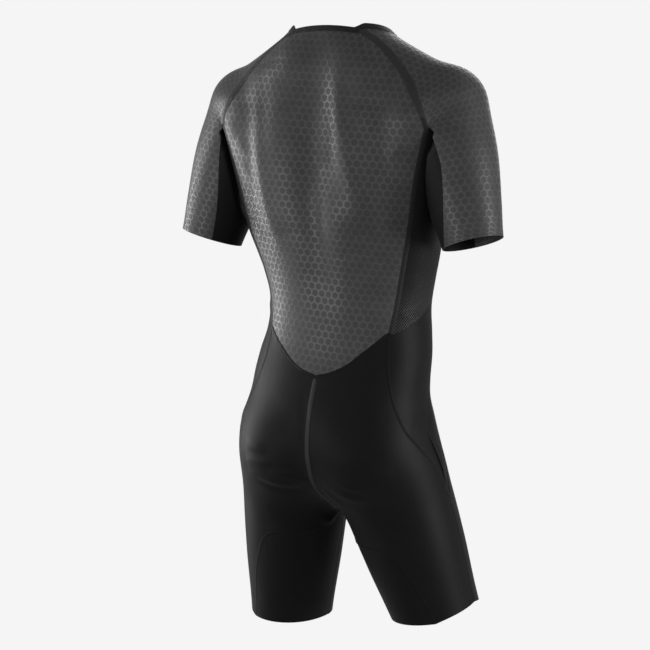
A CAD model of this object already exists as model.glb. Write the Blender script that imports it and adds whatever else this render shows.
# Short-sleeved triathlon suit in its worn shape: every cloth piece is laid again, finer,
# on the shape that the solids have, with its fabric, seams, stitches and folds.
import math

import bmesh
import bpy
import numpy as np
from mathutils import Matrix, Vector


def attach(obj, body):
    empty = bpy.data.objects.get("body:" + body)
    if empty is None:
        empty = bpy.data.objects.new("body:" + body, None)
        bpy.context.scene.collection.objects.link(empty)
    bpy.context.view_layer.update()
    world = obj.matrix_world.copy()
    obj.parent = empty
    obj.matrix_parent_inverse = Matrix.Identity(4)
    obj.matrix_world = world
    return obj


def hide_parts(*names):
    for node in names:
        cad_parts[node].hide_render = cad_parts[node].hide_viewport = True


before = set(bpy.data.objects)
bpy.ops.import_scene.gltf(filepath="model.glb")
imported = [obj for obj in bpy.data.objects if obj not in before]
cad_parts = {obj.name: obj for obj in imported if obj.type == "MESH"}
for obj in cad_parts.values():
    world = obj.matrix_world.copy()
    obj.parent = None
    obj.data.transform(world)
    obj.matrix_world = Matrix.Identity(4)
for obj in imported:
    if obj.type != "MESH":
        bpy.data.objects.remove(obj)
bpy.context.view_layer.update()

# Worn shape of the back panel and of all that joins it.
# The suit is stretched over a general figure, so each piece of cloth lies on that form.
# Sizes are in millimetres until a mesh is made.


def curve_through(rows):
    """Smooth curve through a table: the first column is the place, the others the sizes there."""
    rows = np.array(rows, float)
    if rows[0, 0] > rows[-1, 0]:
        rows = rows[::-1]
    place, sizes = rows[:, 0], rows[:, 1:]
    span = np.diff(place)[:, None]
    slope = np.diff(sizes, axis=0) / span
    inner = (slope[:-1] * span[1:] + slope[1:] * span[:-1]) / (span[:-1] + span[1:])
    tangent = np.vstack([slope[:1], inner, slope[-1:]])

    def at(where):
        where = np.clip(np.atleast_1d(where), place[0], place[-1])
        k = np.clip(np.searchsorted(place, where, side="right") - 1, 0, len(place) - 2)
        s = ((where - place[k]) / span[k, 0])[:, None]
        rise = 3 * s**2 - 2 * s**3
        bend = tangent[k] * (s - 2 * s**2 + s**3) + tangent[k + 1] * (s**3 - s**2)
        return sizes[k] * (1 - rise) + sizes[k + 1] * rise + span[k] * bend

    return at


# columns: height, half width, front depth, back depth, middle x, middle y
body_levels = curve_through([
    (60, 70, 58, 58, 0, 32),
    (20, 72, 60, 60, 0, 32),
    (0, 82, 64, 63, 0, 34),
    (-20, 108, 74, 69, 0, 34),
    (-45, 142, 90, 78, 0, 31),
    (-75, 166, 104, 88, 0, 26),
    (-110, 172, 116, 96, 0, 24),
    (-160, 172, 124, 102, 0, 22),
    (-215, 170, 126, 106, 0, 18),
    (-280, 163, 120, 108, 0, 14),
    (-348, 151, 108, 104, 0, 6),
    (-382, 143, 102, 101, 0, 2),
    (-430, 136, 98, 99, 1, 0),
    (-470, 140, 97, 100, 3, 0),
    (-505, 147, 97, 103, 9, 0),
    (-540, 150, 97, 108, 14, 2),
    (-590, 148, 97, 114, 17, 4),
    (-640, 153, 96, 114, 18, 4),
    (-690, 160, 92, 106, 20, 0),
    (-740, 150, 84, 92, 20, 0),
    (-800, 130, 70, 70, 20, 0),
])
body_roundness = 2.2
back_hollow = {"depth": 7, "width": 34, "z": -190, "reach": 120}
crotch_floor = {"z": -712, "slope": 0.9, "softness": 90}
crotch_level = -773

# columns: share of the way down, side radius, front radius
arm_radii = curve_through([(0, 64, 66), (0.4, 66, 64), (0.75, 58, 54), (1, 51, 46), (1.3, 50, 45)])
yoke_radii = curve_through([(0, 59, 62), (1, 58, 58)])
side_back_radii = curve_through([(0, 54, 54), (0.42, 50, 50), (0.77, 42, 42), (1, 24, 24)])
leg_radii = curve_through([(0, 84, 94), (0.3, 88, 92), (0.65, 80, 86), (1, 67, 76), (1.3, 62, 72)])
seat_radii = np.array([76, 66, 84])
softness = {"arm": 44, "yoke": 20, "side_back": 40, "leg": 60, "seat": 50, "underarm": 10}
armpit_level = -140
shoulder_level = -90
arm_clearance = 5
fan_reach = 1.6


def spot(*xyz):
    return np.array(xyz, float)


def body_side(sign, **places):
    """Middle lines of one side's limbs. The yokes and the back's fullness mirror each other."""
    mirrored = {"neck": (50, 44, -50), "shoulder": (178, 22, -112),
                "side_back_top": (146, 57, -130), "side_back_low": (103, 32, -362)}
    side = {key: spot(sign * x, y, z) for key, (x, y, z) in mirrored.items()}
    side.update({key: spot(*place) for key, place in places.items()}, sign=sign)
    return side


left = body_side(1, cuff=(238, 47, -325), hip=(97, 4, -640), leg_hem=(132, -33, -962),
                 leg_side=(1, 0, 0), seat=(84, 50, -662))
right = body_side(-1, cuff=(-238, 47, -318), hip=(-51, 4, -640), leg_hem=(-128, -60, -934),
                  leg_side=(-0.906, 0.423, 0), seat=(-40, 48, -662))
sides = {"left": left, "right": right}


def unit(v):
    return v / np.maximum(np.linalg.norm(v, axis=-1, keepdims=True), 1e-12)


def soft_union(a, b, reach):
    reach = np.maximum(reach, 1e-9)
    h = np.maximum(reach - np.abs(a - b), 0) / reach
    return np.minimum(a, b) - h**3 * reach / 6


def soft_cut(a, b, reach):
    return -soft_union(-a, -b, reach)


def soft_step(value, low, high):
    s = np.clip((value - low) / (high - low), 0, 1)
    return s * s * (3 - 2 * s)


def limb_form(p, top, low, radii, sideways, ends_at):
    length = np.linalg.norm(low - top)
    along = (low - top) / length
    side = unit(sideways - along * (sideways @ along))
    front = np.cross(along, side)
    q = p - top
    share = q @ along / length
    kept = np.clip(share, 0, ends_at)
    side_radius, front_radius = radii(kept).T
    past = (share - kept) * length
    s, f = q @ side, q @ front
    scaled = np.sqrt((s / side_radius) ** 2 + (f / front_radius) ** 2 + (past / side_radius) ** 2) + 1e-9
    reach = np.sqrt(s * s + f * f + past * past) + 1e-9
    return reach - reach / scaled


def trunk_form(p):
    half_width, front, back, mid_x, mid_y = body_levels(p[:, 2]).T
    dx, dy = p[:, 0] - mid_x, p[:, 1] - mid_y
    hollow = back_hollow["depth"] * np.exp(
        -(((p[:, 2] - back_hollow["z"]) / back_hollow["reach"]) ** 2) - (dx / back_hollow["width"]) ** 2
    )
    depth = np.where(dy > 0, back - hollow, front)
    scaled = (np.abs(dx) / half_width) ** body_roundness + (np.abs(dy) / depth) ** body_roundness
    scaled = scaled ** (1 / body_roundness) + 1e-9
    reach = np.hypot(dx, dy) + 1e-9
    form = reach - reach / scaled
    for side in (left, right):
        ends = side["side_back_top"], side["side_back_low"]
        form = soft_union(form, limb_form(p, *ends, side_back_radii, spot(1, 0, 0), 1), softness["side_back"])
    return form


def leg_form(p, side):
    return limb_form(p, side["hip"], side["leg_hem"], leg_radii, side["leg_side"], 1.15)


def seat_form(p, side):
    q = p - side["seat"]
    reach = np.linalg.norm(q, axis=1) + 1e-9
    return reach - reach / (np.linalg.norm(q / seat_radii, axis=1) + 1e-9)


def body_form(p):
    form = trunk_form(p)
    low = p[:, 2] < -420
    if low.any():
        q = p[low]
        floor = (crotch_floor["z"] - q[:, 2]) * crotch_floor["slope"]
        below = soft_cut(form[low], floor, crotch_floor["softness"])
        below = soft_union(below, seat_form(q, left), softness["seat"])
        below = soft_union(below, seat_form(q, right), softness["seat"])
        legs = soft_union(leg_form(q, left), leg_form(q, right), softness["leg"])
        form[low] = soft_union(below, legs, softness["leg"])
    return form


def arm_form(p, side):
    sideways = spot(0.87 * side["sign"], 0.5, 0)
    arm = limb_form(p, side["shoulder"], side["cuff"], arm_radii, sideways, 1.15)
    yoke = limb_form(p, side["neck"], side["shoulder"], yoke_radii, spot(0, 0, 1), 1)
    return soft_union(arm, yoke, softness["yoke"])


def upper_form(p):
    form = body_form(p)
    high = p[:, 2] > armpit_level
    if high.any():
        q = p[high]
        blend = soft_step(q[:, 2], armpit_level, shoulder_level) * softness["arm"]
        form[high] = soft_union(soft_union(form[high], arm_form(q, left), blend), arm_form(q, right), blend)
    return form


def sleeve_form(side):
    def form(p):
        value = soft_cut(arm_form(p, side), arm_clearance - body_form(p), softness["underarm"])
        high = p[:, 2] > armpit_level
        if high.any():
            value[high] = upper_form(p[high])
        return value

    return form


def slope_of(form, p):
    step = 0.4
    parts = [(form(p + step * way) - form(p - step * way)) / (2 * step) for way in np.eye(3)]
    return np.stack(parts, axis=1)


def normal_of(form, p):
    return unit(slope_of(form, p))


def onto(form, p, rounds=6):
    """The points moved on to the form along its slope."""
    p = np.array(p, float).reshape(-1, 3)
    for _ in range(rounds):
        slope = slope_of(form, p)
        p = p - slope * (form(p) / np.maximum((slope**2).sum(axis=1), 0.2))[:, None]
    return p


def outward(form, centre, direction):
    """First point of the form on each ray from inside it."""
    near = np.zeros(len(centre))
    far = np.zeros(len(centre))
    going = np.arange(len(centre))
    for _ in range(200):
        value = form(centre[going] + direction[going] * far[going, None])
        going, value = going[value < 0], value[value < 0]
        if not len(going):
            break
        near[going] = far[going]
        far[going] += np.clip(-value * 0.5, 0.7, 8)
    for _ in range(14):
        middle = (near + far) / 2
        inside = form(centre + direction * middle[:, None]) < 0
        near, far = np.where(inside, middle, near), np.where(inside, far, middle)
    return centre + direction * far[:, None]


def line_at(points, share):
    """Points at these shares of a smooth curve through a few points."""
    p = np.array(points, float)
    ends = np.vstack([2 * p[0] - p[1], p, 2 * p[-1] - p[-2]])
    place = np.clip(np.atleast_1d(share), 0, 1) * (len(p) - 1)
    k = np.minimum(place.astype(int), len(p) - 2)
    s = (place - k)[:, None]
    a, b, c, d = ends[k], ends[k + 1], ends[k + 2], ends[k + 3]
    before, within, after = (
        np.maximum(np.linalg.norm(y - x, axis=1), 1e-6)[:, None] ** 0.5 for x, y in ((a, b), (b, c), (c, d))
    )
    start = within * ((b - a) / before - (c - a) / (before + within) + (c - b) / within)
    end = within * ((c - b) / within - (d - b) / (within + after) + (d - c) / after)
    rise = 3 * s**2 - 2 * s**3
    return b * (1 - rise) + c * rise + start * (s - 2 * s**2 + s**3) + end * (s**3 - s**2)


def walked(line):
    """Length along a line from its start to each of its points."""
    return np.concatenate([[0], np.cumsum(np.linalg.norm(np.diff(line, axis=0), axis=1))])


def points_along(line, places):
    lengths = walked(line)
    return np.stack([np.interp(places, lengths, line[:, k]) for k in range(3)], axis=1)


def seam_line(points, count, form, keep_ends=False):
    """Seam of evenly spaced points on the form."""
    dense = line_at(points, np.linspace(0, 1, 400))
    seam = onto(form, points_along(dense, np.linspace(0, walked(dense)[-1], count + 1)))
    if keep_ends:
        seam[0], seam[-1] = points[0], points[-1]
    return seam


midline = curve_through([(0, 0), (-440, 0), (-535, 3), (-600, 11), (-700, 14), (-760, 16)])


def mid_x(z):
    return midline(z)[:, 0]


def from_table(rows, side):
    rows = np.array(rows, float)
    return np.stack([mid_x(rows[:, 2]) + side["sign"] * rows[:, 0], rows[:, 1], rows[:, 2]], axis=1)


def shifted(seam, widths, form):
    run = np.gradient(seam, axis=0)
    across = unit(np.cross(run, slope_of(form, seam)))
    return onto(form, seam + across * np.broadcast_to(widths, len(seam))[:, None])


def fan(form, centres, start, end, toward, columns):
    """Rows of points on the form, each a fan of rays from one seam to the other."""
    a, b = unit(start - centres), unit(end - centres)
    wide = 1 - (a * b).sum(axis=1, keepdims=True)
    middle = unit(a + b + toward * fan_reach * wide)
    u = np.linspace(0, 1, columns + 1)[None, :, None]
    rays = (1 - u) ** 2 * a[:, None] + 2 * u * (1 - u) * middle[:, None] + u**2 * b[:, None]
    rays = unit(rays).reshape(-1, 3)
    grid = outward(form, np.repeat(centres, columns + 1, axis=0), rays).reshape(len(start), columns + 1, 3)
    grid[:, 0], grid[:, -1] = start, end
    meets = np.linalg.norm(start - end, axis=1) < 1e-6
    grid[meets] = start[meets][:, None]
    return grid


# Seams beside the back panel. columns: outward from the midline, back, height
raglan_back = [
    (60, 81, 2), (92, 81, -13), (120, 85, -38), (144, 90, -66),
    (161, 98, -93), (174, 101, -118), (182, 96, -145),
]
side_back = [
    (182, 96, -145), (173, 96, -185), (162, 92, -222), (152, 86, -275),
    (140, 77, -330), (129, 68, -374), (117, 61, -419), (109, 67, -463),
]
raglan_front = [
    (62, -24, -14), (84, -34, -34), (110, -52, -62),
    (132, -58, -96), (148, -50, -126), (153, -42, -146),
]
side_front = [
    (153, -42, -146), (152, -50, -200), (146, -54, -260),
    (136, -54, -320), (124, -54, -370), (118, -54, -404),
]
lower_back_edge = [
    (105, 67, -465), (87, 82, -481), (70, 92, -496), (53, 99, -511),
    (33, 105, -523), (12, 109, -530), (0, 110, -532),
]
raglan_rows, side_rows, lower_back_rows = 64, 96, 48
raglan_band_width, side_band_width = 14, 8
back_tip = onto(body_form, [(mid_x(-532)[0], 110, -532)])[0]


def band_edges(seam, widths, form):
    one, other = shifted(seam, widths, form), shifted(seam, -widths, form)
    middle = len(seam) // 2
    return (one, other) if abs(one[middle, 0]) > abs(other[middle, 0]) else (other, one)


def band_pair(raglan, flank, side):
    """Edges of the seam band, down the raglan seam and on down the side."""
    upper = seam_line(from_table(raglan, side), raglan_rows, upper_form)
    lower = seam_line(from_table(flank, side), side_rows, body_form)
    narrowing = soft_step(np.arange(raglan_rows + 1) / raglan_rows, 5 / 8, 1)
    widths = (raglan_band_width + (side_band_width - raglan_band_width) * narrowing) / 2
    upper_outer, upper_inner = band_edges(upper, widths, upper_form)
    lower_outer, lower_inner = band_edges(lower, np.full(side_rows + 1, side_band_width / 2), body_form)
    armpit = upper_outer[-1:]
    for _ in range(12):
        armpit = onto(lambda p: arm_form(p, side), onto(body_form, armpit))
    inner = onto(body_form, [(upper_inner[-1] + lower_inner[0]) / 2])[0]
    upper_outer[-1] = lower_outer[0] = armpit[0]
    upper_inner[-1] = lower_inner[0] = inner
    return {"upper_outer": upper_outer, "upper_inner": upper_inner,
            "lower_outer": lower_outer, "lower_inner": lower_inner}


back_bands = {name: band_pair(raglan_back, side_back, side) for name, side in sides.items()}
front_bands = {name: band_pair(raglan_front, side_front, side) for name, side in sides.items()}
back_ends = {}
for name, side in sides.items():
    points = from_table(lower_back_edge, side)
    points[0], points[-1] = back_bands[name]["lower_inner"][-1], back_tip
    back_ends[name] = seam_line(points, lower_back_rows, body_form, keep_ends=True)


def whole_edge(band, edge):
    """One edge of a seam band, from the neck to its foot."""
    return np.vstack([band[f"upper_{edge}"], band[f"lower_{edge}"][1:]])


def trunk_centres(a, b, y=20):
    return np.stack([np.zeros(len(a)), np.full(len(a), y), (a[:, 2] + b[:, 2]) / 2], axis=1)


# The back's own soft relief: a fullness on each side and a hollow down the middle, then the
# edges where the fullness turns in towards the hollow, drawn sharp by the stretched cloth.
# columns: points along it, width, height
back_relief = [
    ([(-90, 105, -40), (-84, 112, -110), (-81, 114, -170), (-78, 112, -230), (-62, 110, -310)], 42, 9),
    ([(90, 105, -40), (84, 112, -110), (81, 114, -170), (78, 112, -230), (62, 110, -310)], 42, 9),
    ([(0, 100, -50), (0, 110, -150), (0, 112, -250), (0, 104, -350), (2, 101, -450)], 26, -6),
    ([(124, 100, -40), (110, 108, -110), (104, 110, -170), (96, 110, -230), (84, 108, -290),
      (68, 104, -345)], 17, 5.4),
    ([(-34, 100, -50), (-41, 108, -110), (-51, 112, -170), (-62, 112, -230), (-76, 106, -285)], 16, 5.0),
    ([(-2, 112, -205), (-20, 114, -265), (-46, 110, -340)], 24, 3.2),
    ([(-120, 96, -210), (-116, 92, -280), (-106, 84, -350)], 20, 2.6),
]
# Creases of the shorts: where the seat meets the legs, across the crotch and on the fronts.
# columns: points along it, width, height
creases = [
    ([(135, 102, -696), (103, 110, -707), (66, 106, -714), (37, 100, -708), (16, 99, -706)], 9, 2.6),
    ([(120, 104, -707), (80, 104, -719), (40, 92, -722)], 8, -2.0),
    ([(87, 117, -691), (50, 110, -698), (18, 101, -703)], 8, 2.4),
    ([(135, 108, -648), (108, 119, -654), (87, 122, -656)], 10, 2.2),
    ([(136, 106, -675), (106, 117, -680), (78, 120, -678)], 8, 1.8),
    ([(8, 100, -712), (-21, 88, -734), (-34, 80, -747)], 7, 2.6),
    ([(38, 41, -777), (29, 17, -788), (18, 11, -771)], 6, 2.2),
    ([(-30, 108, -690), (-62, 104, -703), (-92, 96, -708)], 9, 2.2),
    ([(-24, 98, -712), (-52, 94, -722), (-80, 86, -730)], 7, 1.8),
    ([(-70, 112, -668), (-100, 104, -680), (-128, 88, -686)], 10, 1.6),
    ([(20, 116, -560), (17, 121, -610), (14, 120, -660)], 10, -2.2),
    ([(30, -92, -700), (60, -88, -690), (96, -84, -672)], 9, 2.4),
    ([(26, -84, -718), (58, -84, -712), (90, -82, -704)], 8, -1.8),
    ([(-2, -92, -700), (-34, -90, -688), (-70, -86, -668)], 9, 2.2),
    ([(0, -84, -722), (-34, -84, -714), (-62, -86, -700)], 7, 1.8),
    ([(14, -96, -560), (15, -96, -620), (15, -88, -680)], 9, -1.6),
    ([(120, 60, -428), (128, 30, -434), (134, -8, -430)], 9, 1.8),
    ([(-118, 60, -432), (-126, 28, -440), (-132, -12, -436)], 9, 1.8),
    ([(60, -96, -420), (88, -84, -428), (112, -66, -424)], 10, 1.8),
    ([(-58, -96, -426), (-86, -84, -432), (-110, -66, -420)], 10, 1.6),
    ([(30, -108, -330), (62, -104, -340), (96, -92, -338)], 12, 1.6),
]
# Creases below the armpits, on both sides, drawn down and in by the sleeves
armpit_creases = [
    ([(150, 96, -160), (136, 104, -176), (118, 110, -196)], 11, 2.4),
    ([(146, 98, -196), (132, 104, -214), (116, 108, -238)], 12, 1.6),
    ([(-152, 94, -158), (-138, 102, -172), (-120, 108, -188)], 11, 2.2),
    ([(144, -52, -152), (128, -74, -166), (106, -92, -178)], 11, 2.4),
    ([(-144, -52, -150), (-130, -72, -164), (-108, -92, -180)], 11, 2.2),
]
# Each is one soft ridge, or a trough if its height is below zero, and fades at its ends
folds = [
    (onto(form, line_at(points, np.linspace(0, 1, 24))), width, height)
    for form, table in ((upper_form, back_relief), (body_form, creases), (upper_form, armpit_creases))
    for points, width, height in table
]


def fold_height(p):
    total = np.zeros(len(p))
    for line, width, height in folds:
        near = ((p > line.min(axis=0) - 3 * width) & (p < line.max(axis=0) + 3 * width)).all(axis=1)
        if not near.any():
            continue
        q = p[near]
        away = np.full(len(q), 1e9)
        share = np.zeros(len(q))
        for k in range(len(line) - 1):
            run = line[k + 1] - line[k]
            s = np.clip(((q - line[k]) @ run) / (run @ run), 0, 1)
            distance = np.linalg.norm(q - line[k] - s[:, None] * run, axis=1)
            closer = distance < away
            away = np.where(closer, distance, away)
            share = np.where(closer, (k + s) / (len(line) - 1), share)
        total[near] += height * np.exp(-((away / width) ** 2)) * np.sin(np.pi * share) ** 0.8
    return total


def cloth_places(grid):
    """Place of each point on the flat cloth in mm, counted from the middle column."""
    middle = grid.shape[1] // 2
    across = np.cumsum(np.linalg.norm(np.diff(grid, axis=1), axis=2), axis=1)
    across = np.concatenate([np.zeros((len(grid), 1)), across], axis=1)
    across = across - across[:, middle:middle + 1]
    down = walked(grid[:, middle])[:, None]
    return np.stack([across, np.broadcast_to(-down, across.shape)], axis=2)


cloth_thickness = 1.1


def cloth_mesh(name, grid, form, raised=0.0, wall=cloth_thickness):
    """Makes a sheet of cloth from its rows of points, with its wall inside the form."""
    rows, columns = grid.shape[:2]
    flat = grid.reshape(-1, 3)
    normal = normal_of(form, flat)
    lift = fold_height(flat) + np.broadcast_to(raised, grid.shape[:2]).reshape(-1)
    placed = (flat + normal * lift[:, None]) / 1000
    places = cloth_places(grid).reshape(-1, 2) / 1000
    i, j = np.meshgrid(np.arange(rows - 1), np.arange(columns - 1), indexing="ij")
    corner = (i * columns + j).ravel()
    faces = np.stack([corner, corner + 1, corner + columns + 1, corner + columns], axis=1)
    one = faces[len(faces) // 2]
    facing = np.cross(placed[one[1]] - placed[one[0]], placed[one[3]] - placed[one[0]])
    if facing @ normal[one[0]] < 0:
        faces = faces[:, ::-1]
    mesh = bpy.data.meshes.new(name)
    mesh.from_pydata(placed.tolist(), [], faces.tolist())
    layer = mesh.uv_layers.new(name="cloth")
    loops = np.zeros(len(mesh.loops), np.int32)
    mesh.loops.foreach_get("vertex_index", loops)
    layer.data.foreach_set("uv", places[loops].astype(np.float32).ravel())
    work = bmesh.new()
    work.from_mesh(mesh)
    bmesh.ops.remove_doubles(work, verts=work.verts, dist=2e-6)
    bmesh.ops.dissolve_degenerate(work, edges=work.edges, dist=1e-7)
    work.to_mesh(mesh)
    work.free()
    piece = bpy.data.objects.new(name, mesh)
    bpy.context.scene.collection.objects.link(piece)
    bpy.ops.object.select_all(action="DESELECT")
    bpy.context.view_layer.objects.active = piece
    piece.select_set(True)
    inside = piece.modifiers.new("wall", "SOLIDIFY")
    inside.thickness, inside.offset, inside.use_even_offset = wall / 1000, -1, False
    bpy.ops.object.modifier_apply(modifier=inside.name)
    mesh = piece.data
    mesh.polygons.foreach_set("use_smooth", np.ones(len(mesh.polygons), bool))
    mesh.set_sharp_from_angle(angle=math.radians(50))
    return piece


def add_cloth(node, grid, form, material, slot, **shape):
    """A cloth piece that stands for its CAD solid."""
    piece = cloth_mesh(f"cloth_{node}", grid, form, **shape)
    piece.data.materials.append(material)
    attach(piece, "garment")
    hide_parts(node)
    return piece


class Nodes:
    """Adds nodes to a material or group, with their values and links in one call."""

    settings = ("operation", "interpolation_type", "data_type", "blend_type", "uv_map", "node_tree")

    def __init__(self, tree):
        self.tree = tree

    def feed(self, node, inputs):
        """Links or sets inputs of a node, each by its name or, as in i0, by its number."""
        for key, value in inputs.items():
            socket = node.inputs[int(key[1:]) if key[1:].isdigit() else key]
            if isinstance(value, bpy.types.NodeSocket):
                self.tree.links.new(value, socket)
            else:
                socket.default_value = value

    def add(self, kind, out=0, **inputs):
        node = self.tree.nodes.new(kind)
        for key in self.settings:
            if key in inputs:
                setattr(node, key, inputs.pop(key))
        self.feed(node, inputs)
        return node.outputs if out is None else node.outputs[out]

    def math(self, operation, a, b=0.0, c=0.0):
        return self.add("ShaderNodeMath", operation=operation, i0=a, i1=b, i2=c)

    def vector(self, operation, a, b=(0, 0, 0), c=(0, 0, 0), out=0):
        return self.add("ShaderNodeVectorMath", out, operation=operation, i0=a, i1=b, i2=c)

    def scaled(self, place, factor):
        return self.add("ShaderNodeVectorMath", operation="SCALE", i0=place, Scale=factor)

    def axes(self, place):
        return self.add("ShaderNodeSeparateXYZ", None, Vector=place)

    def between(self, value, low, high, to_low=0.0, to_high=1.0):
        return self.add("ShaderNodeMapRange", interpolation_type="SMOOTHSTEP", Value=value,
                        **{"From Min": low, "From Max": high, "To Min": to_low, "To Max": to_high})

    def mix(self, share, a, b, blend="MIX"):
        a, b = (((*colour, 1) if isinstance(colour, tuple) else colour) for colour in (a, b))
        return self.add("ShaderNodeMix", 2, data_type="RGBA", blend_type=blend, i0=share, i6=a, i7=b)

    def cloth_place(self, turn=0):
        """Place on the flat cloth, turned by some degrees."""
        place = self.add("ShaderNodeUVMap", uv_map="cloth")
        if not turn:
            return place
        return self.add("ShaderNodeMapping", Vector=place, Rotation=(0, 0, math.radians(turn)))


def new_group(name, inputs, outputs):
    group = bpy.data.node_groups.new(name, "ShaderNodeTree")
    for label, kind, value in inputs:
        socket = group.interface.new_socket(label, in_out="INPUT", socket_type=kind)
        if value is not None:
            socket.default_value = value
    for label, kind in outputs:
        group.interface.new_socket(label, in_out="OUTPUT", socket_type=kind)
    start, end = group.nodes.new("NodeGroupInput"), group.nodes.new("NodeGroupOutput")
    return group, Nodes(group), start.outputs, end.inputs


# Fine knit: small loops in rows, which every fabric of the suit shows close up
full_turn = 6.2832
knit, make, given, result = new_group(
    "fine knit",
    [("Place", "NodeSocketVector", None), ("Loop size", "NodeSocketFloat", 0.0012)],
    [("Height", "NodeSocketFloat"), ("Shade", "NodeSocketFloat")],
)
turned = make.axes(make.scaled(given["Place"], make.math("DIVIDE", full_turn, given["Loop size"])))
wale = make.math("SINE", turned[0])
course = make.math("SINE", make.math("ADD", turned[1], make.math("MULTIPLY", wale, 0.9)))
knit.links.new(make.math("MULTIPLY_ADD", course, 0.5, 0.5), result["Height"])
uneven = make.add("ShaderNodeTexNoise", Vector=given["Place"], Scale=38.0, Detail=3.0, Roughness=0.6)
knit.links.new(make.between(uneven, 0.3, 0.7, 0.88, 1.1), result["Shade"])

# Honeycomb: pointed six-sided cells with a soft shining line round each
comb, make, given, result = new_group(
    "honeycomb lines",
    [("Place", "NodeSocketVector", None), ("Cell width", "NodeSocketFloat", 0.0122),
     ("Line share", "NodeSocketFloat", 0.22)],
    [("Line", "NodeSocketFloat"), ("Cell", "NodeSocketFloat")],
)
cells = make.scaled(given["Place"], make.math("DIVIDE", 1.0, given["Cell width"]))
row_step = 0.8660254
half = (0.5, row_step, 0.5)
roundness = 0.28
distances = []
for offset in ((0, 0, 0), half):
    moved = make.vector("WRAP", make.vector("SUBTRACT", cells, offset), half, tuple(-v for v in half))
    flat = make.vector("MULTIPLY", moved, (1, 1, 0))
    away = make.axes(make.vector("ABSOLUTE", flat))
    slanted = make.math("MULTIPLY_ADD", away[1], row_step, make.math("MULTIPLY", away[0], 0.5))
    straight = make.math("MULTIPLY", make.math("MAXIMUM", away[0], slanted), 1 - roundness)
    rounded = make.math("MULTIPLY", make.vector("LENGTH", flat, out=1), roundness)
    distances.append(make.math("ADD", straight, rounded))
nearest = make.math("MINIMUM", *distances)
inner_edge = make.math("SUBTRACT", 0.5, given["Line share"])
comb.links.new(make.between(nearest, inner_edge, 0.5), result["Line"])
comb.links.new(make.between(nearest, 0.1, 0.42), result["Cell"])


def fabric(name):
    material = bpy.data.materials.new(name)
    material.use_nodes = True
    tree = material.node_tree
    tree.nodes.clear()
    shader = tree.nodes.new("ShaderNodeBsdfPrincipled")
    surface = tree.nodes.new("ShaderNodeOutputMaterial")
    tree.links.new(shader.outputs[0], surface.inputs[0])
    return material, Nodes(tree), shader


honeycomb_colours = (0.034, 0.034, 0.035), (0.054, 0.054, 0.056)


def honeycomb_cloth(name, turn):
    """Grey cloth with lighter, smoother and slightly raised lines."""
    material, make, shader = fabric(name)
    line = make.add("ShaderNodeGroup", None, node_tree=comb, Place=make.cloth_place(turn))["Line"]
    knitted = make.add("ShaderNodeGroup", None, node_tree=knit, Place=make.cloth_place())
    shade = make.add("ShaderNodeCombineColor", i0=knitted["Shade"], i1=knitted["Shade"], i2=knitted["Shade"])
    raised = make.math("ADD", line, make.math("MULTIPLY", knitted["Height"], 0.12))
    make.feed(shader, {
        "Base Color": make.mix(1.0, make.mix(line, *honeycomb_colours), shade, "MULTIPLY"),
        "Roughness": make.between(line, 0, 1, 0.56, 0.4),
        "Normal": make.add("ShaderNodeBump", Strength=0.35, Distance=0.0004, Height=raised),
        "Specular IOR Level": 0.4,
        "Sheen Weight": 0.05,
        "Sheen Roughness": 0.45,
    })
    return material


grey_cloth = honeycomb_cloth("grey honeycomb cloth", -4)

# Back panel: one piece of grey honeycomb cloth between the seam bands, with a rounded foot
# that ends in a low point over the seat. It is cut flat and stretched over the back.
back_columns = 112
neck_rise, neck_rise_rows = 7.2, 14
back_edges = [
    np.vstack([whole_edge(back_bands[name], "inner"), back_ends[name][1:]]) for name in ("right", "left")
]
back_grid = fan(upper_form, trunk_centres(*back_edges), *back_edges, spot(0, 1, 0), back_columns)
# The neck edge rises a little between the raglan seams
across = np.linspace(0, 1, back_columns + 1)
fading = np.linspace(1, 0, neck_rise_rows)[:, None] ** 1.5
back_grid[:neck_rise_rows, :, 2] += fading * neck_rise * np.sin(np.pi * across) ** 0.35
risen = onto(upper_form, back_grid[:neck_rise_rows].reshape(-1, 3), 3)
back_grid[:neck_rise_rows] = risen.reshape(neck_rise_rows, -1, 3)
add_cloth("back_panel", back_grid, upper_form, grey_cloth, "grey_honeycomb")

# Side panels: black ribbed mesh under each arm, from the armpit to the waist.
# One four-sided piece a side, cut with its ribs running down and forward.


def plain_cloth(name, colour, rough, sheen, knit_strength=0.25, shine=0.2, rib=0.0, rib_turn=0.0):
    """Black knit; with a rib width it gets raised slanting ribs, brighter towards the waist."""
    material, make, shader = fabric(name)
    knitted = make.add("ShaderNodeGroup", None, node_tree=knit, Place=make.cloth_place())
    height = make.math("MULTIPLY", knitted["Height"], knit_strength)
    colour = make.mix(knitted["Shade"], (0, 0, 0), colour)
    if rib:
        across_ribs = make.axes(make.cloth_place(rib_turn))[1]
        wave = make.math("SINE", make.math("MULTIPLY", across_ribs, full_turn / rib))
        ribs = make.between(wave, -0.3, 0.9)
        height = make.math("ADD", height, ribs)
        low_down = make.between(make.axes(make.cloth_place())[1], -0.33, -0.2, 1, 0)
        colour = make.mix(ribs, (0.004, 0.004, 0.0045), make.mix(low_down, colour, (0.045, 0.045, 0.046)))
        rough = make.between(ribs, 0, 1, 0.85, rough)
    make.feed(shader, {
        "Base Color": colour,
        "Roughness": rough,
        "Normal": make.add("ShaderNodeBump", Strength=0.5, Distance=0.0005, Height=height),
        "Specular IOR Level": shine,
        "Sheen Weight": sheen,
        "Sheen Roughness": 0.5,
    })
    return material


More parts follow.
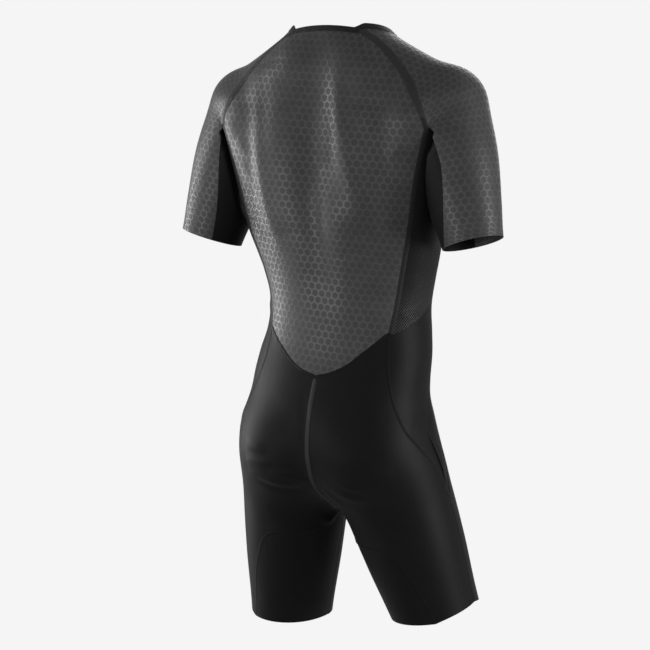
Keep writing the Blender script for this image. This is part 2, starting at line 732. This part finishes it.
ribbed_mesh = plain_cloth("black ribbed mesh", (0.0055, 0.0055, 0.006), 0.38, 0.02, rib=0.0045, rib_turn=-32)
side_columns = 55
side_grids = {}
for name, side in sides.items():
    back, front = back_bands[name]["lower_outer"], front_bands[name]["lower_outer"]
    outward_way = spot(side["sign"], 0, 0)
    side_grids[name] = fan(body_form, trunk_centres(back, front), back, front, outward_way, side_columns)
    add_cloth(f"side_panel_{name}", side_grids[name], body_form, ribbed_mesh, "ribbed_mesh")

# Sleeves: one piece of grey honeycomb from the neck over the shoulder to the hem.
# Each is sewn to the raglan bands in front and behind and ends in a plain bonded hem.
sleeve_rows, sleeve_columns = 48, 96
armpit_rows, armpit_columns = 8, 14
sleeve_back_seams = {
    "left": [
        (182, 96, -143), (190, 95, -170), (193, 95, -200),
        (197, 93, -245), (204, 89, -286), (214, 85, -324),
    ],
    "right": [
        (182, 96, -143), (197, 95, -172), (206, 96, -200),
        (209, 95, -235), (208, 90, -282), (208, 76, -322),
    ],
}
sleeve_front_seam = [
    (157, -40, -146), (172, -38, -172), (184, -32, -200),
    (198, -20, -240), (210, -8, -283), (218, 0, -324),
]


def arm_axis(side):
    return unit(side["cuff"] - side["shoulder"])


def across_arm(side):
    axis = arm_axis(side)
    return unit(spot(side["sign"], 0, 0) - axis * side["sign"] * axis[0])


def sleeve_seam(table, start, side):
    """Seam down the arm from the armpit to a point on the cuff."""
    axis = arm_axis(side)
    points = from_table(table, side)
    points[0] = start
    way = points[-1] - side["cuff"]
    way = unit(way - axis * (way @ axis))
    points[-1] = outward(sleeve_form(side), side["cuff"][None], way[None])[0]
    return seam_line(points, sleeve_rows, sleeve_form(side), keep_ends=True)


def sleeve_centres(side, shares):
    """Line inside the sleeve: shares up to 1 run over the shoulder, from 1 to 2 down the arm."""
    sign = side["sign"]
    spine = [(sign * 25, 32, -12), (sign * 85, 34, -62), (sign * 150, 30, -102), (sign * 205, 28, -140)]
    over = line_at(spine, np.minimum(shares, 1))
    down = np.clip(shares - 1, 0, 1)[:, None]
    return over * (1 - down) + side["cuff"] * down


def clear_of_body(grid, first_row, gap=0.5):
    """Keeps the sleeve off the body from the armpit down."""
    flat = grid[first_row:].reshape(-1, 3)
    lack = np.maximum(gap - body_form(flat), 0)[:, None]
    grid[first_row:] = (flat + normal_of(body_form, flat) * lack).reshape(grid[first_row:].shape)
    return grid


sleeve_grids, sleeve_seams = {}, {}
down_arm = 1 + np.arange(sleeve_rows + 1) / sleeve_rows
sleeve_cloth = honeycomb_cloth("grey honeycomb sleeve", 8)
for name, side in sides.items():
    tops = [bands[name]["upper_outer"] for bands in (back_bands, front_bands)]
    tables = sleeve_back_seams[name], sleeve_front_seam
    sleeve_seams[name] = [sleeve_seam(table, top[-1], side) for table, top in zip(tables, tops)]
    start, end = (np.vstack([top, seam[1:]]) for top, seam in zip(tops, sleeve_seams[name]))
    shares = np.concatenate([np.linspace(0, 1, raglan_rows + 1), down_arm[1:]])
    rise = np.radians(10 + 50 * np.sin(np.pi * np.minimum(shares, 1)))[:, None]
    toward = np.hstack([side["sign"] * np.cos(rise), 0 * rise, np.sin(rise)])
    turn = soft_step(shares, 0.85, 1.15)[:, None]
    toward = unit(toward * (1 - turn) + across_arm(side) * turn)
    grid = fan(sleeve_form(side), sleeve_centres(side, shares), start, end, toward, sleeve_columns)
    # Just below the armpit the cloth runs straight from each seam on to the arm
    on_arm = lambda p: arm_form(p, side)
    inward_share = np.linspace(0, 1, armpit_columns + 1)[1:-1, None]
    for i in range(raglan_rows, raglan_rows + armpit_rows):
        for first, step in ((0, 1), (sleeve_columns, -1)):
            last = first + step * armpit_columns
            laid = grid[i, first] * (1 - inward_share) + grid[i, last] * inward_share
            grid[i, first + step:last:step] = onto(on_arm, laid, 3)
    sleeve_grids[name] = clear_of_body(grid, raglan_rows)
    add_cloth(f"sleeve_{name}", sleeve_grids[name], sleeve_form(side), sleeve_cloth, "grey_honeycomb")

# Underarm gussets: black knit on the inside of each sleeve, from the armpit to the hem.
# They close the sleeves' tubes and let the arm lift.
gusset_shift, gusset_top_rows = 26, 10
black_knit = plain_cloth("black knit", (0.0045, 0.0045, 0.005), 0.48, 0.045, shine=0.1)


def add_black_knit(node, grid, form=body_form, **shape):
    add_cloth(node, grid, form, black_knit, "black_knit", **shape)


for name, side in sides.items():
    back_seam, front_seam = sleeve_seams[name]
    centres = sleeve_centres(side, down_arm) + across_arm(side) * gusset_shift
    under = lambda p: soft_cut(arm_form(p, side), arm_clearance - body_form(p), softness["underarm"])
    grid = fan(under, centres, back_seam, front_seam, -across_arm(side), side_columns)
    top = side_grids[name][0]
    grid[0] = top + normal_of(body_form, top) * 0.5
    across = np.linspace(0, 1, side_columns + 1)[:, None]
    for i in range(1, gusset_top_rows):
        share = i / gusset_top_rows
        row = grid[0] * (1 - share) + grid[gusset_top_rows] * share
        grid[i] = row + (1 - across) ** 4 * (back_seam[i] - row[0]) + across**4 * (front_seam[i] - row[-1])
    add_black_knit(f"underarm_gusset_{name}", clear_of_body(grid, 0), under)

# Front panels: smooth black knit on each side of the front zip, from neck to waist.
# The photo doesn't show them, so they stay plain, cut to meet the zip tapes and seam bands.
zip_levels = [-26, -80, -150, -220, -300, -360, -404]
tape_width, layer_gap = 6, 0.3
front_columns = 64


def front_of(x, z, form):
    z = np.atleast_1d(z).astype(float)
    x = np.broadcast_to(x, z.shape).astype(float)
    start = np.stack([x, np.full(len(z), 10.0), z], axis=1)
    return outward(form, start, np.broadcast_to(spot(0, -1, 0), start.shape))


zip_edges, front_grids = {}, {}
for name, side in sides.items():
    sign = side["sign"]
    edge = front_of(sign * (tape_width + layer_gap), zip_levels, upper_form)
    edge = zip_edges[name] = seam_line(edge, raglan_rows + side_rows, upper_form)
    outer = whole_edge(front_bands[name], "inner")
    toward = unit(spot(sign * 0.6, -0.8, 0))
    front_grids[name] = fan(upper_form, trunk_centres(edge, outer, 10), edge, outer, toward, front_columns)
    add_black_knit(f"front_panel_{name}", front_grids[name], upper_form)

# Seam bands: flat tape over the raglan seams and on down the sides, 14 mm wide and grey at the
# shoulder, 8 mm wide and darker below the armpit, stitched down along both edges.
band_columns = 8
band_join = -128
seam_tape = plain_cloth("dark seam tape", (0.011, 0.011, 0.012), 0.55, 0.03, 0.6)
shoulder_tape = plain_cloth("grey shoulder tape", (0.027, 0.027, 0.029), 0.55, 0.03, 0.6)


def band_grid(outer, inner, form, columns=band_columns):
    share = np.linspace(0, 1, columns + 1)[None, :, None]
    grid = outer[:, None] * (1 - share) + inner[:, None] * share
    return onto(form, grid.reshape(-1, 3), 3).reshape(grid.shape)


def band_profile(crown, edge):
    """Height across a band: pressed edges, a stitched ridge beside each and a low middle."""
    u = np.linspace(-1, 1, band_columns + 1)
    return edge + crown * (1 - u**6) * (0.75 + 0.25 * np.cos(2 * np.pi * u))


band_grids = {}
for name, side in sides.items():
    for place, bands in (("back", back_bands[name]), ("front", front_bands[name])):
        grid = band_grid(whole_edge(bands, "outer"), whole_edge(bands, "inner"), upper_form)
        band_grids[place, name] = grid
        band = add_cloth(f"seam_band_{place}_{name}", grid, upper_form, shoulder_tape, "seam_tape",
                         raised=band_profile(0.8, 0.05), wall=1.2)
        band.data.materials.append(seam_tape)
        middles = np.zeros(3 * len(band.data.polygons))
        band.data.polygons.foreach_get("center", middles)
        band.data.polygons.foreach_set("material_index", (middles[2::3] < band_join / 1000).astype(np.int32))

# Neck band: a 7 mm strip of the same dark cloth folded over the neck edge, open at the zip.
neck_levels = np.linspace(7, -2, 6)
neck_raised = np.array([0.5, 0.9, 0.9, 0.85, 0.9, 0.3])
neck_middle, neck_smoothing = 32.0, 16
lower = np.vstack([
    front_grids["left"][0], sleeve_grids["left"][0][::-1], back_grid[0][::-1],
    sleeve_grids["right"][0], front_grids["right"][0][::-1],
])
lower = lower[np.concatenate([[True], np.linalg.norm(np.diff(lower, axis=0), axis=1) > 1.0])]
for _ in range(neck_smoothing):
    lower[1:-1] = (lower[:-2] + 2 * lower[1:-1] + lower[2:]) / 4
lower = onto(upper_form, lower, 3)
neck_rows = []
for level in neck_levels:
    centres = lower * (0, 0, 1) + spot(0, neck_middle, level)
    ways = unit((lower - spot(0, neck_middle, 0)) * (1, 1, 0))
    neck_rows.append(outward(upper_form, centres, ways))
add_cloth("neck_band", np.array(neck_rows), upper_form, seam_tape, "seam_tape", raised=neck_raised[:, None],
          wall=2.2)

# Front zip: two black woven tapes with a nylon coil between them, from the neck to the waist.
# The slider and its tab are the solids' own, given a dark lacquered metal finish.
tape_cloth = plain_cloth("black zip tape", (0.012, 0.012, 0.013), 0.7, 0.02, 0.8)
for name, side in sides.items():
    edge = zip_edges[name]
    middle = front_of(0.1 * side["sign"], edge[:, 2], upper_form)
    tape = band_grid(middle, edge, upper_form, 4)
    add_cloth(f"zip_tape_{name}", tape, upper_form, tape_cloth, "zip_tape", wall=0.9)


def solid_finish(name, colour, rough, metal, coat=0.0):
    """Hard finish with fine uneven grain and rubbed roughness."""
    material, make, shader = fabric(name)
    place = make.add("ShaderNodeTexCoord", 3)
    grain = make.add("ShaderNodeTexNoise", Vector=place, Scale=900.0, Detail=4.0, Roughness=0.6)
    make.feed(shader, {
        "Base Color": make.mix(make.between(grain, 0.3, 0.7, 0.8, 1.15), (0, 0, 0), colour),
        "Roughness": make.between(grain, 0.35, 0.65, rough - 0.08, rough + 0.1),
        "Normal": make.add("ShaderNodeBump", Strength=0.15, Distance=0.0002, Height=grain),
        "Metallic": metal,
        "Coat Weight": coat,
    })
    return material


def line_frame(line, form):
    """The ways outward, along and across at each point of a line on the form."""
    normal = normal_of(form, line)
    run = unit(np.gradient(line, axis=0))
    return normal, run, unit(np.cross(run, normal))


def rods(name, starts, ends, normals, radius, arch, sides=6, cuts=4):
    """Many short arched rods in one mesh: stitches or zip turns."""
    s = np.linspace(-1, 1, cuts + 1)
    middle, half = (starts + ends) / 2, (ends - starts) / 2
    along = unit(half)
    aside = unit(np.cross(along, normals))
    turn = np.linspace(0, 2 * np.pi, sides, endpoint=False)
    rings = []
    for k, share in enumerate(s):
        centre = middle + half * share + normals * (arch * (1 - share**2))
        thin = radius * (0.55 if k in (0, cuts) else 1.0)
        ring = [centre + thin * (np.cos(t) * normals + np.sin(t) * aside) for t in turn]
        rings.append(np.stack(ring, axis=1))
    points = np.stack(rings, axis=1).reshape(-1, 3) / 1000
    faces = []
    for k in range(cuts):
        for j in range(sides):
            n = (j + 1) % sides
            faces.append((k * sides + j, k * sides + n, (k + 1) * sides + n, (k + 1) * sides + j))
    caps = [tuple(reversed(range(sides))), tuple(cuts * sides + j for j in range(sides))]
    base = (np.arange(len(starts)) * (cuts + 1) * sides)[:, None, None]
    quads = (np.array(faces)[None] + base).reshape(-1, 4).tolist()
    ends_of = (np.array(caps)[None] + base).reshape(-1, sides).tolist()
    mesh = bpy.data.meshes.new(name)
    mesh.from_pydata(points.tolist(), [], quads + ends_of)
    mesh.polygons.foreach_set("use_smooth", np.ones(len(mesh.polygons), bool))
    piece = bpy.data.objects.new(name, mesh)
    bpy.context.scene.collection.objects.link(piece)
    work = bmesh.new()
    work.from_mesh(mesh)
    bmesh.ops.recalc_face_normals(work, faces=work.faces)
    work.to_mesh(mesh)
    work.free()
    return piece


def sewn(piece, material):
    piece.data.materials.append(material)
    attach(piece, "garment")


# The coil: small rounded turns laid across the zip, each a short bent rod
turn_pitch, turn_radius, turn_arch, chain_width, chain_lift = 1.25, 0.5, 0.5, 4.4, 0.75
coil_top = -30
zip_line = front_of(0.0, zip_edges["left"][:, 2], upper_form)
zip_line = zip_line[zip_line[:, 2] < coil_top]
zip_length = walked(zip_line)[-1]
spots = np.linspace(turn_pitch, zip_length - turn_pitch, int(zip_length / turn_pitch))
spots = points_along(zip_line, spots)
normal, run, across = line_frame(spots, upper_form)
half, lift = across * chain_width / 2, normal * chain_lift
coil = rods("zip_coil", spots - half + lift, spots + half + lift, normal, turn_radius, turn_arch)
sewn(coil, solid_finish("black nylon coil", (0.02, 0.02, 0.022), 0.42, 0.0))
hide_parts("zip_chain")
zip_metal = solid_finish("dark lacquered metal", (0.05, 0.05, 0.053), 0.35, 0.7, coat=0.2)
for node in ("zip_slider", "zip_pull_tab"):
    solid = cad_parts[node]
    solid.data.materials.clear()
    solid.data.materials.append(zip_metal)

# Shorts: smooth black stretch knit in two seat pieces, two fronts, a curved hip piece on
# each side and an inner leg piece on each leg, sewn flat, with the legs' edges bonded.
hip_back_seam = [(107, 71, -510), (112, 70, -545), (126, 65, -585), (142, 56, -620)]
hip_front_seam = [(124, -56, -450), (134, -56, -510), (140, -54, -570)]
centre_back_seam = [
    (112, -550), (119, -604), (121, -644), (114, -676), (98, -707), (74, -733), (40, -752),
]
centre_front_seam = [(-97, -470), (-97, -560), (-92, -640), (-78, -700), (-50, -750)]
# On the leg. columns: height, turn about the leg from straight back to the outside
hip_back_on_leg = [(-652, 67), (-684, 78), (-714, 87)]
hip_front_on_leg = [(-650, 122), (-710, 112)]
hip_low = [(-765, 98)]
outer_leg = [(-840, 100)]
back_leg = [(-783, -58), (-790, -26), (-803, 2), (-864, 17)]
inner_leg = [(-800, -98), (-864, -98)]
outer_hem_turn, back_hem_turn, inner_hem_turn = 100, 25, -98
hip_rows, hip_front_rows, outer_rows, inner_rows = 104, 48, 32, 48
centre_back_rows, centre_front_rows = 136, 32
seat_columns, hip_columns, inner_columns = 72, 40, 32
pocket_place = (slice(72, 97), slice(8, 33))


def leg_points(side, rows):
    """Points on the leg from their heights and turns."""
    rows = np.array(rows, float).reshape(-1, 2)
    hip, hem = side["hip"], side["leg_hem"]
    share = ((rows[:, 0] - hip[2]) / (hem[2] - hip[2]))[:, None]
    angle = np.radians(rows[:, 1])
    axis = unit(hem - hip)
    ways = np.stack([side["sign"] * np.sin(angle), np.cos(angle), 0 * angle], axis=1)
    ways = unit(ways - (ways @ axis)[:, None] * axis)
    return outward(body_form, hip + (hem - hip) * share, ways)


def on_midline(rows):
    rows = np.array(rows, float)
    return np.stack([mid_x(rows[:, 1]), rows[:, 0], rows[:, 1]], axis=1)


crotch = outward(body_form, spot(mid_x(crotch_level)[0], 5, -640)[None], spot(0, 0, -1)[None])[0]
zip_foot = front_of(0.0, zip_levels[-1], body_form)[0]
centre_back, centre_front = (
    seam_line([top, *on_midline(rows), crotch], count, body_form, True)
    for top, rows, count in (
        (back_tip, centre_back_seam, centre_back_rows),
        (zip_foot, centre_front_seam, centre_front_rows),
    )
)


def leg_centres(side, a, b):
    z = np.maximum((a[:, 2] + b[:, 2]) / 2, side["leg_hem"][2])
    hip, hem = side["hip"], side["leg_hem"]
    share = np.maximum((z - hip[2]) / (hem[2] - hip[2]), 0)[:, None]
    in_leg = hip + (hem - hip) * share
    in_leg[:, 2] = z
    in_trunk = np.stack([body_levels(z)[:, 3] + side["sign"] * 40, np.full(len(z), 4.0), z], axis=1)
    mix = soft_step(z, -700, -560)[:, None]
    return in_leg * (1 - mix) + in_trunk * mix


def add_leg_piece(node, side, start, end, toward, columns):
    """Black knit from one seam of the shorts to another."""
    grid = fan(body_form, leg_centres(side, start, end), start, end, toward, columns)
    add_black_knit(node, grid)
    return grid


shorts_seams, pocket_mouths = {}, {}
for name, side in sides.items():
    sign = side["sign"]
    hem = side["leg_hem"][2]
    corner = back_bands[name]["lower_inner"][-1]
    waist_front = front_bands[name]["lower_outer"][-1]
    low = leg_points(side, hip_low)[0]
    seams = shorts_seams[name] = {}
    for seam, rows, *points in (
        ("hip_back", hip_rows, corner, *from_table(hip_back_seam, side),
         *leg_points(side, hip_back_on_leg), low),
        ("hip_front", hip_front_rows, waist_front, *from_table(hip_front_seam, side),
         *leg_points(side, hip_front_on_leg), low),
        ("outer_leg", outer_rows, low, *leg_points(side, [*outer_leg, (hem, outer_hem_turn)])),
        ("back_leg", inner_rows, crotch, *leg_points(side, [*back_leg, (hem, back_hem_turn)])),
        ("inner_leg", inner_rows, crotch, *leg_points(side, [*inner_leg, (hem, inner_hem_turn)])),
    ):
        seams[seam] = seam_line(points, rows, body_form, True)

    start = np.vstack([back_ends[name][::-1], seams["hip_back"][1:], seams["outer_leg"][1:]])
    end = np.vstack([centre_back, seams["back_leg"][1:]])
    add_leg_piece(f"seat_panel_{name}", side, start, end, unit(spot(sign * 0.5, 0.86, 0)), seat_columns)

    end = np.vstack([corner[None], side_grids[name][-1], seams["hip_front"][1:]])
    hip = add_leg_piece(f"hip_panel_{name}", side, seams["hip_back"], end, spot(sign, 0, 0), hip_columns)
    pocket = hip[pocket_place]
    pocket_mouths[name] = pocket[:, 1]
    along, over = (np.linspace(0, 1, count) for count in pocket.shape[:2])
    along, over = along[:, None], over[None]
    fullness = soft_step(along, 0, 0.25) * soft_step(1 - along, 0, 0.25) * soft_step(1 - over, 0, 0.4)
    add_black_knit(f"side_pocket_{name}", pocket, raised=0.2 + 1.5 * fullness, wall=1.2)

    start = np.vstack([seams["hip_front"], seams["outer_leg"][1:]])
    end = np.vstack([centre_front, seams["inner_leg"][1:]])
    add_leg_piece(f"shorts_front_{name}", side, start, end, unit(spot(sign * 0.4, -0.9, 0)), front_columns)
    start, end = seams["back_leg"], seams["inner_leg"]
    add_leg_piece(f"inner_leg_panel_{name}", side, start, end, spot(-sign, 0, 0), inner_columns)

# Sewing of the shorts: a flat tape lies over each seam and is sewn through both cloth edges
# with cover stitches. Those down the seat's middle and along the seam bands are grey.
seam_colours = {
    "grey polyester thread": ((0.055, 0.056, 0.06), 0.45, 0.1, 0.3, 0.4),
    "black polyester thread": ((0.006, 0.006, 0.0065), 0.45, 0.04, 0.3, 0.15),
    "black flat seam cloth": ((0.0045, 0.0045, 0.005), 0.5, 0.04, 0.6, 0.1),
    "dark grey seam cloth": ((0.012, 0.012, 0.013), 0.5, 0.03, 0.6, 0.3),
}
thread, black_thread, seam_cloth, centre_cloth = (
    plain_cloth(cloth, *looks) for cloth, looks in seam_colours.items()
)
seam_end_widths = np.array([0.35, 0.7, 0.9])
thread_radius, thread_arch = 0.16, 0.25


def flat_seam(name, line, width, height=0.55, cloth=seam_cloth):
    """A thin strip over a seam, pressed flat at its edges."""
    half = np.full(len(line), width / 2)
    half[:3] *= seam_end_widths
    half[-3:] *= seam_end_widths[::-1]
    grid = band_grid(shifted(line, half, body_form), shifted(line, -half, body_form), body_form)
    sewn(cloth_mesh(name, grid, body_form, raised=band_profile(height, 0.1), wall=0.5), cloth)


def stitches(name, line, width, pitch, height, form=body_form, slant=0.0, colour=black_thread):
    """Cover-stitch threads across a seam, one each few millimetres."""
    spots = onto(form, points_along(line, np.arange(pitch, walked(line)[-1] - pitch, pitch)), 3)
    normal, run, across = line_frame(spots, form)
    lift = (fold_height(spots) + height)[:, None] * normal
    half, lean = across * width / 2, run * slant / 2
    starts, ends = spots - half - lean + lift, spots + half + lean + lift
    sewn(rods(name, starts, ends, normal, thread_radius, thread_arch, sides=4, cuts=2), colour)


seat_middle = centre_back[2:-6]
flat_seam("centre_seat_seam", seat_middle, 8, 0.8, centre_cloth)
for offset, name in ((2.6, "left"), (-2.6, "right")):
    row = shifted(seat_middle, np.full(len(seat_middle), offset), body_form)
    stitches(f"centre_seat_stitches_{name}", row, 0.9, 2.6, 0.95, slant=1.6, colour=thread)
flat_seam("centre_front_seam", centre_front[1:-2], 7)
for name, side in sides.items():
    lines = shorts_seams[name]
    for seam, line, height in (
        ("hip", lines["hip_back"][2:-2], 0.4),
        ("front_hip", lines["hip_front"][1:-2], 0.4),
        ("outer_leg", lines["outer_leg"][1:], 0.4),
        ("back_leg", lines["back_leg"][6:], 0.3),
        ("inner_leg", lines["inner_leg"][6:], 0.3),
    ):
        flat_seam(f"{seam}_seam_{name}", line, 5, height)
    flat_seam(f"waist_back_seam_{name}", back_ends[name], 4, 0.4)
    stitches(f"waist_stitches_{name}", back_ends[name], 2.2, 3.0, 0.5)
    for key in ("hip_back", "back_leg"):
        stitches(f"{key}_stitches_{name}", lines[key][6:-2], 2.6, 3.0, 0.5)
    for place in ("back", "front"):
        for edge, column in (("outer", 1), ("inner", band_columns - 1)):
            line = band_grids[place, name][:, column]
            stitches(f"band_{place}_{edge}_stitches_{name}", line, 1.6, 3.0, 0.85, upper_form, colour=thread)
    stitches(f"pocket_stitches_{name}", pocket_mouths[name][6:-6], 2.2, 2.6, 1.7)

# Studio: a pale floor under a pale even sky, a narrow light on each side, one high on the left,
# soft ones behind and in front, and the camera at the photo's place, behind the suit to its right.
studio_tone, studio_glow = (0.913, 0.913, 0.913, 1), 0.34
bpy.ops.mesh.primitive_plane_add(size=60, location=(0, 0, -1.3))
floor = bpy.context.object
floor.name = "studio_floor"
floor_paint, make, shader = fabric("pale floor")
make.feed(shader, {
    "Base Color": (0, 0, 0, 1),
    "Roughness": 1.0,
    "Specular IOR Level": 0,
    "Emission Color": studio_tone,
    "Emission Strength": make.between(make.add("ShaderNodeLightPath"), 0, 1, studio_glow, 1),
})
floor.data.materials.append(floor_paint)

world = bpy.data.worlds.new("pale studio")
world.use_nodes = True
make = Nodes(world.node_tree)
glow = make.between(make.add("ShaderNodeLightPath"), 0, 1, studio_glow, 1)
make.feed(world.node_tree.nodes["Background"], {"Color": studio_tone, "Strength": glow})
scene = bpy.context.scene
scene.world = world
scene.view_settings.view_transform = "Standard"
# columns: name, place, aim, width and height, power
for name, place, aim, size, power in (
    ("strip_left", (2.4, 0.1, -0.6), (0, 0, -0.55), (0.4, 1.4), 32),
    ("high_left", (2.1, 1.0, 0.3), (0.05, 0.1, -0.15), (0.25, 0.7), 15),
    ("strip_right", (-2.4, -0.3, -0.5), (0, 0, -0.5), (0.4, 1.4), 42),
    ("low_behind", (1.3, 2.6, -0.95), (0, 0, -0.4), (0.6, 0.6), 20),
    ("fill_behind", (-0.6, 3.2, -0.1), (0, 0, -0.5), (1.6, 1.6), 9),
    ("fill_front", (0.6, -2.8, 0.8), (0, 0, -0.4), (2.0, 2.0), 30),
):
    light = bpy.data.lights.new(name, "AREA")
    light.shape = "RECTANGLE"
    light.size, light.size_y = size
    light.energy = power
    lamp = bpy.data.objects.new(name, light)
    lamp.location = place
    lamp.rotation_euler = (Vector(aim) - Vector(place)).to_track_quat("-Z", "Y").to_euler()
    scene.collection.objects.link(lamp)

lens = bpy.data.cameras.new("camera")
lens.lens, lens.sensor_width = 93, 36
camera = bpy.data.objects.new("camera", lens)
camera.location = (-1.318, 2.367, -0.120)
target = Vector((0.032, 0.029, -0.462))
camera.rotation_euler = (target - camera.location).to_track_quat("-Z", "Y").to_euler()
scene.collection.objects.link(camera)
scene.camera = camera
